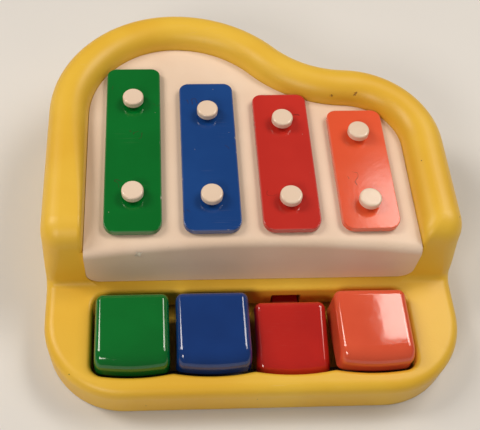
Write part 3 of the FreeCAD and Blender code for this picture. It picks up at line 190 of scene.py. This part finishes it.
class Finish:
    """One procedural material, with its patterns laid out in the object's own metres."""

    # Noise runs about this value.
    NOISE_MIDDLE = 0.5
    # The share of its radius inside which a speck or knock is whole, and of its width for a squiggle.
    SPOT_CORE = 0.6
    SQUIGGLE_CORE = 0.5
    # How sharply the cells that hold a speck are told from the rest.
    SPECK_STEP = 0.01
    # Scratches begin at the first level, lowered by the drop times their amount, and are whole at the second.
    SCRATCH_LEVELS = (0.72, 0.78)
    SCRATCH_DROP = 0.08
    # Scratches and squiggles keep to patches of this size, which fade in between these levels.
    SCRATCH_PATCH = 0.03
    SCRATCH_PATCH_LEVELS = (0.55, 0.7)
    SQUIGGLE_PATCH = 0.011
    SQUIGGLE_PATCH_LEVELS = (0.74, 0.77)
    # A knock's edge is frayed by noise of this size, over this many radii.
    FRAY_SIZE = 0.001
    FRAY_REACH = 4

    def __init__(self, name):
        self.material = bpy.data.materials.new(name)
        self.material.use_nodes = True
        self.tree = self.material.node_tree
        self.tree.nodes.clear()
        self.place = self.node("ShaderNodeTexCoord", out="Object")

    def node(self, kind, settings=None, sockets=None, out=0):
        """Add any node: its settings first, then the values or links of its sockets."""
        made = self.tree.nodes.new(kind)
        for name, value in (settings or {}).items():
            setattr(made, name, value)
        for name, value in (sockets or {}).items():
            if isinstance(value, Wire):
                self.tree.links.new(value.socket, made.inputs[name])
            else:
                made.inputs[name].default_value = value
        return None if out is None else Wire(self, made.outputs[out])

    def axis(self, letter):
        """One of the three object coordinates."""
        return self.node("ShaderNodeSeparateXYZ", sockets={0: self.place}, out=letter)

    def stretched(self, scale, turn_degrees=0.0):
        """Object coordinates turned about the vertical and scaled unlike along each axis."""
        turn = (0.0, 0.0, math.radians(turn_degrees))
        sockets = {"Vector": self.place, "Rotation": turn, "Scale": scale}
        return self.node("ShaderNodeMapping", sockets=sockets)

    def noise(self, feature, detail=2.0, vector=None):
        """Cloudy values whose lumps are feature metres across, or feature units of another vector."""
        sockets = {"Vector": vector or self.place, "Scale": 1 / feature, "Detail": detail}
        return self.node("ShaderNodeTexNoise", sockets=sockets)

    def specks(self, spacing, radius, share):
        """Round specks of one radius, in a share of cells that are spacing metres wide."""
        sockets = {"Vector": self.place, "Scale": 1 / spacing}
        distance = self.node("ShaderNodeTexVoronoi", sockets=sockets, out="Distance")
        cell = self.node("ShaderNodeTexVoronoi", sockets=sockets, out="Color")
        draw = self.node("ShaderNodeSeparateColor", sockets={0: cell}, out="Red")
        chosen = draw.rise(1 - share, 1 - share + self.SPECK_STEP)
        return chosen * distance.rise(radius / spacing, self.SPOT_CORE * radius / spacing)

    def scratches(self, length, width, turn_degrees, amount):
        """Thin straight marks: noise drawn out along one direction and kept only at its crest, in patches."""
        drawn_out = self.stretched((1 / length, 1 / width, 1 / width), turn_degrees)
        streaks = self.noise(feature=1.0, detail=1.0, vector=drawn_out)
        low, high = self.SCRATCH_LEVELS
        crest = streaks.rise(low - self.SCRATCH_DROP * amount, high)
        return crest * self.noise(self.SCRATCH_PATCH).rise(*self.SCRATCH_PATCH_LEVELS)

    def squiggles(self, feature, width):
        """Short curved marks: the thin band where cloudy values cross their middle, kept in rare patches."""
        from_middle = abs(self.noise(feature, detail=0.0) - self.NOISE_MIDDLE)
        band = from_middle.rise(width / feature, self.SQUIGGLE_CORE * width / feature)
        return band * self.noise(self.SQUIGGLE_PATCH, detail=0.0).rise(*self.SQUIGGLE_PATCH_LEVELS)

    def distance(self, place):
        """How far the surface lies from one place."""
        sockets = {0: self.place, 1: place}
        return self.node("ShaderNodeVectorMath", {"operation": "DISTANCE"}, sockets, out="Value")

    def knocks(self, places, radius):
        """Ragged marks: the distance to the nearest of some places, frayed by fine noise and stepped down."""
        nearest = functools.reduce(Wire.least, [self.distance(place) for place in places])
        fray = (self.noise(self.FRAY_SIZE) - self.NOISE_MIDDLE) * (self.FRAY_REACH * radius)
        return (nearest + fray).rise(radius, self.SPOT_CORE * radius)

    def mix(self, factor, first, second):
        """From the first colour to the second as the factor goes from 0 to 1."""
        return self.node("ShaderNodeMix", {"data_type": "RGBA"}, {0: factor, 6: first, 7: second}, out=2)

    def bump(self, relief, depth):
        """A relief whose value of 1 stands for depth metres."""
        return self.node("ShaderNodeBump", sockets={"Height": relief, "Distance": depth, "Strength": 1.0})

    def done(self, **sockets):
        """Close the material with its surface shader, whose sockets are named with underscores for spaces."""
        named = {name.replace("_", " "): value for name, value in sockets.items()}
        surface = self.node("ShaderNodeBsdfPrincipled", sockets=named)
        self.node("ShaderNodeOutputMaterial", sockets={"Surface": surface}, out=None)
        return self.material


# In the finishes, a number beside a pattern is its weight: how far it covers, roughens or raises the surface.


def moulded_plastic(name, tones, dirt_tone, rough, knocked=None):
    """Satin moulding: faint clouds, a fine pebbled skin, specks of dirt, hairline scuffs and any knocks,
    which are given as their places, radius and tone.
    """
    finish = Finish(name)
    colour, shade = tones
    pale = tuple(0.75 * channel + 0.25 for channel in colour[:3]) + (1.0,)
    cloud = finish.noise(feature=0.06, detail=3.0)
    grain = finish.noise(feature=0.0009)
    swell = finish.noise(feature=0.012)
    dirt = finish.specks(spacing=0.014, radius=0.00045, share=0.6)
    long_scuff = finish.scratches(length=0.03, width=0.0006, turn_degrees=24.0, amount=1.0)
    short_scuff = finish.scratches(length=0.02, width=0.0005, turn_degrees=-52.0, amount=0.6)
    scuff = long_scuff.most(short_scuff)
    body = finish.mix(cloud.rise(0.35, 0.7), shade, colour)
    worn = finish.mix(scuff * 0.25, body, pale)
    relief = grain * 0.7 + scuff * -0.6 + swell * 1.5
    if knocked:
        places, radius, tone = knocked
        knock = finish.knocks(places, radius)
        worn = finish.mix(knock * 0.75, worn, tone)
        relief = relief - knock * 7
    return finish.done(
        Base_Color=finish.mix(dirt * 0.8, worn, dirt_tone),
        Roughness=rough + 0.1 * cloud + 0.12 * scuff + 0.05 * grain,
        Normal=finish.bump(relief, depth=0.00006),
        IOR=PLASTIC_IOR,
    )


def gloss_key(colour_name):
    """High gloss moulding: a deep even colour under a clear skin with hairline scratches and dust."""
    finish = Finish(f"{colour_name}_key_gloss")
    colour, shade = KEY_TONES[colour_name]
    cloud = finish.noise(feature=0.025)
    peel = finish.noise(feature=0.004)
    long_hair = finish.scratches(length=0.012, width=0.00025, turn_degrees=35.0, amount=1.0)
    short_hair = finish.scratches(length=0.01, width=0.0002, turn_degrees=-20.0, amount=0.8)
    hair = long_hair.most(short_hair)
    dust = finish.specks(spacing=0.006, radius=0.00016, share=0.25)
    body = finish.mix(cloud.rise(0.3, 0.75), shade, colour)
    return finish.done(
        Base_Color=finish.mix(dust * 0.35 + hair * 0.03, body, KEY_DUST),
        Roughness=0.045 + 0.04 * cloud + 0.1 * hair + 0.3 * dust,
        Normal=finish.bump(peel + hair * -0.3, depth=0.00002),
        IOR=KEY_IOR,
        Coat_Weight=0.3 - 0.15 * hair,
        Coat_Roughness=0.03,
    )


def bar_paint(colour_name):
    """Enamelled bar: smooth paint with orange peel, fine scratches and a few dark curved marks, rubbed pale
    along its edges, and chipped to bare metal there and in specks.
    """
    finish = Finish(f"{colour_name}_bar_enamel")
    colour, shade = BAR_TONES[colour_name]
    low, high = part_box(f"{colour_name}_bar")
    from_side = (high[0] - low[0]) / 2 - abs(finish.axis("X") - (low[0] + high[0]) / 2)
    from_end = (high[1] - low[1]) / 2 - abs(finish.axis("Y") - (low[1] + high[1]) / 2)
    from_edge = from_side.least(from_end)
    edge_width, chip_whole = 0.0009, 0.0002
    chips = from_edge.rise(edge_width, chip_whole) * finish.noise(feature=0.004, detail=4.0).rise(0.66, 0.69)
    bare = chips.most(finish.specks(spacing=0.007, radius=0.0003, share=0.5))
    marks = finish.squiggles(feature=0.005, width=0.00012)
    along = finish.scratches(length=0.03, width=0.0004, turn_degrees=8.0, amount=1.0)
    across = finish.scratches(length=0.02, width=0.0004, turn_degrees=64.0, amount=0.9)
    scratch = along.most(across)
    cloud = finish.noise(feature=0.04, detail=3.0)
    peel = finish.noise(feature=0.0016)
    body = finish.mix(cloud.rise(0.35, 0.7), shade, colour)
    rubbed = finish.mix(scratch * 0.05 + from_edge.rise(edge_width, 0.0) * 0.12, body, BAR_RUB)
    worn = finish.mix(marks * 0.6, rubbed, BAR_MARK)
    return finish.done(
        Base_Color=finish.mix(bare * 0.8, worn, BARE_METAL),
        Metallic=bare,
        Roughness=0.09 + 0.08 * cloud + 0.06 * scratch + 0.25 * bare,
        Normal=finish.bump(peel * 0.8 + bare * -1.2 + scratch * -0.2, depth=0.00004),
        IOR=PAINT_IOR,
    )


def drawn_steel():
    """Plain steel: fine lines drawn out along the rod, and faint stains."""
    finish = Finish("drawn_steel")
    lines_a_metre = (60.0, 4000.0, 4000.0)
    draw = finish.noise(feature=1.0, detail=3.0, vector=finish.stretched(lines_a_metre))
    stain = finish.noise(feature=0.01, detail=3.0)
    return finish.done(
        Base_Color=finish.mix(stain, *STEEL_TONES),
        Metallic=1.0,
        Roughness=0.28 + 0.2 * draw + 0.1 * stain,
        Normal=finish.bump(draw, depth=0.00002),
    )


def pressed_felt():
    """Grey felt: fine fibre in soft clumps, with a faint sheen."""
    finish = Finish("pressed_felt")
    fibre = finish.noise(feature=0.0004, detail=4.0)
    clump = finish.noise(feature=0.003)
    return finish.done(
        Base_Color=finish.mix(fibre * 0.6 + clump * 0.4, *FELT_TONES),
        Roughness=0.9 + 0.08 * clump,
        Normal=finish.bump(fibre, depth=0.0003),
        Sheen_Weight=0.3,
    )


def soft_rubber():
    """Black rubber with a faint grey bloom and a dull fine skin."""
    finish = Finish("soft_rubber")
    bloom = finish.noise(feature=0.002, detail=3.0)
    skin = finish.noise(feature=0.0006)
    return finish.done(
        Base_Color=finish.mix(bloom, *RUBBER_TONES),
        Roughness=0.55 + 0.2 * bloom,
        Normal=finish.bump(skin, depth=0.00008),
    )


def floor_paper():
    """Pale matt paper, faintly mottled."""
    finish = Finish("studio_floor")
    mottle = finish.noise(feature=0.15, detail=3.0)
    return finish.done(Base_Color=finish.mix(mottle, *FLOOR_TONES), Roughness=0.75 + 0.1 * mottle)


def add_mesh(name, points, faces, material):
    """An object at the origin, whose mesh has its place in its points."""
    mesh = bpy.data.meshes.new(name)
    mesh.from_pydata(points.tolist(), [], faces)
    mesh.materials.append(material)
    piece = bpy.data.objects.new(name, mesh)
    bpy.context.scene.collection.objects.link(piece)
    return piece


def lofted(name, rings, material):
    """A closed solid: four-sided walls between equal rings of points, which turn right-handed about their
    path, and one flat face at each end.
    """
    stations, count = rings.shape[:2]
    here = np.arange(stations - 1)[:, None] * count + np.arange(count)
    ahead = np.roll(here, -1, axis=1)
    walls = np.stack([here, ahead, ahead + count, here + count], axis=-1).reshape(-1, 4)
    ends = [np.arange(count)[::-1].tolist(), (np.arange(count) + (stations - 1) * count).tolist()]
    return add_mesh(name, rings.reshape(-1, 3), walls.tolist() + ends, material)


def rim_webs(material):
    """The web at each front end of the rim's inner wall: a bevelled oblong plan carried straight up."""
    panel_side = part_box("soundboard_panel")[1][0]
    inner, outer = panel_side + WEB_GAP, panel_side + WEB_GAP + WEB_THICKNESS
    bevel = (inner + outer) / 2
    front = [(inner, WEB_BEVEL), (bevel, WEB_FRONT), (outer, WEB_FRONT)]
    corners = np.array([*front, (outer, WEB_REAR), (inner, WEB_REAR)])
    for side, sign in SIDES.items():
        plan = (corners * (sign, 1))[::sign]
        rings = [np.column_stack([plan, np.full(len(plan), height)]) for height in (WEB_BOTTOM, WEB_TOP)]
        web = lofted(f"{side}_rim_web", np.stack(rings), material)
        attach(web, "case")


def return_leaves(material):
    """The spring leaf under each lever: a thin oblong section carried along a path that lies flat on its pad,
    turns up or down over a short bend, as a parabola, and runs straight to the lever, where its width rounds
    off as an ellipse.
    """
    for colour in COLOURS:
        node = f"{colour}_key_spring"
        low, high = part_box(node)
        middle, half = (low[0] + high[0]) / 2, (high[0] - low[0]) / 2
        tab_top = LEAF_PAD + LEAF_THICKNESS
        rises = high[2] > tab_top + LEAF_THICKNESS
        tip_top = high[2] if rises else low[2] + LEAF_THICKNESS
        bend, tip = high[1] - LEAF_TAB, low[1]
        y = np.concatenate([[high[1]], np.linspace(bend, tip, LEAF_STATIONS)])
        along = np.clip((bend - y) / (bend - tip), 0, 1)
        eased = np.where(along < LEAF_EASE, along**2 / (2 * LEAF_EASE), along - LEAF_EASE / 2)
        top = tab_top + (tip_top - tab_top) * eased / (1 - LEAF_EASE / 2)
        under = top - LEAF_THICKNESS
        into_nose = np.clip((along - 1 + LEAF_NOSE) / LEAF_NOSE, 0, LEAF_BLUNT)
        width = half * np.sqrt(1 - into_nose**2)
        corners = [(-width, under), (width, under), (width, top), (-width, top)]
        rings = np.stack([np.column_stack([middle + x, y, z]) for x, z in corners], axis=1)
        leaf = lofted(f"{colour}_return_leaf", rings, material)
        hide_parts(node)
        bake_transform(leaf)


def dress(material, *nodes):
    """Give CAD nodes a finish in place of the plain one that they came with."""
    for name in nodes:
        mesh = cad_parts[name].data
        mesh.materials.clear()
        mesh.materials.append(material)


def of_each_colour(ending):
    """The names of the four nodes with one ending."""
    return [f"{colour}_{ending}" for colour in COLOURS]


def dress_all():
    """Finish every node, and add the webs and leaves in the finishes of the pieces that they belong to."""
    dirty = (RIM_KNOCKS, RIM_KNOCK_RADIUS, RIM_KNOCK_DIRT)
    # The apron knock: a pale chip whose tone is partly a painted highlight.
    chipped_and_highlit = (APRON_KNOCKS, APRON_KNOCK_RADIUS, APRON_KNOCK_PALE_AND_HIGHLIGHT)
    yellow = moulded_plastic("case_yellow", YELLOW_TONES, YELLOW_DIRT, rough=0.34, knocked=dirty)
    cream = moulded_plastic("panel_cream", PANEL_TONES, PANEL_DIRT, rough=0.36, knocked=chipped_and_highlit)
    peg = moulded_plastic("peg_cream", PEG_TONES, PEG_DIRT, rough=0.1)
    steel = drawn_steel()
    dress(yellow, "upper_housing", "lower_base")
    rim_webs(yellow)
    dress(cream, "soundboard_panel")
    dress(peg, *of_each_colour("bar_pegs"))
    dress(steel, "key_pivot_rod", "rod_retainers", "base_screws", "spring_screws")
    dress(steel, *of_each_colour("key_spring"))
    return_leaves(steel)
    dress(pressed_felt(), "key_stop_felt", "lever_rest_felt", *of_each_colour("bar_washers"))
    dress(soft_rubber(), *of_each_colour("hammer_tip"))
    for colour in COLOURS:
        dress(gloss_key(colour), f"{colour}_key")
        dress(bar_paint(colour), f"{colour}_bar")


def floor():
    """One flat square, level with the tray's underside: its reach times a pair of signs at each corner."""
    signs = np.array([(-1, -1, 0), (1, -1, 0), (1, 1, 0), (-1, 1, 0)])
    square = [tuple(range(len(signs)))]
    plane = add_mesh("studio_floor", FLOOR_REACH * signs, square, floor_paper())


def softbox(name, place, target, size, power):
    """A rectangular lamp that faces its target, with its sides level."""
    light = bpy.data.lights.new(name, "AREA")
    light.shape = "RECTANGLE"
    light.size, light.size_y = size
    light.energy = power
    light.color = SOFTBOX_TINT
    lamp = bpy.data.objects.new(name, light)
    lamp.location = place
    x, y, z = np.array(place) - np.array(target)
    aside = math.hypot(x, y)
    turn = math.atan2(x, -y) if aside else 0.0
    lamp.rotation_euler = (math.atan2(aside, z), 0.0, turn)
    bpy.context.scene.collection.objects.link(lamp)


def studio():
    """The floor, the softboxes and the faint even light of the room."""
    floor()
    for name, settings in SOFTBOXES.items():
        softbox(name, *settings)
    world = bpy.data.worlds.new("studio_world")
    world.use_nodes = True
    background = world.node_tree.nodes["Background"]
    background.inputs["Color"].default_value = ROOM_TINT
    background.inputs["Strength"].default_value = ROOM_STRENGTH
    bpy.context.scene.world = world


def camera():
    """The camera at the photograph's viewing angle, shifted because the photograph is a crop."""
    lens = bpy.data.cameras.new("photo_camera")
    lens.lens = CAMERA_LENS_MM
    lens.sensor_width = CAMERA_SENSOR_MM
    lens.shift_x = CAMERA_SHIFT
    lens.clip_start = CAMERA_NEAREST
    seat = bpy.data.objects.new("photo_camera", lens)
    seat.location = CAMERA_PLACE
    seat.rotation_euler = [math.radians(angle) for angle in CAMERA_TURN_DEGREES]
    bpy.context.scene.collection.objects.link(seat)
    bpy.context.scene.camera = seat


dress_all()
studio()
camera()
bpy.context.scene.view_settings.view_transform = "Standard"
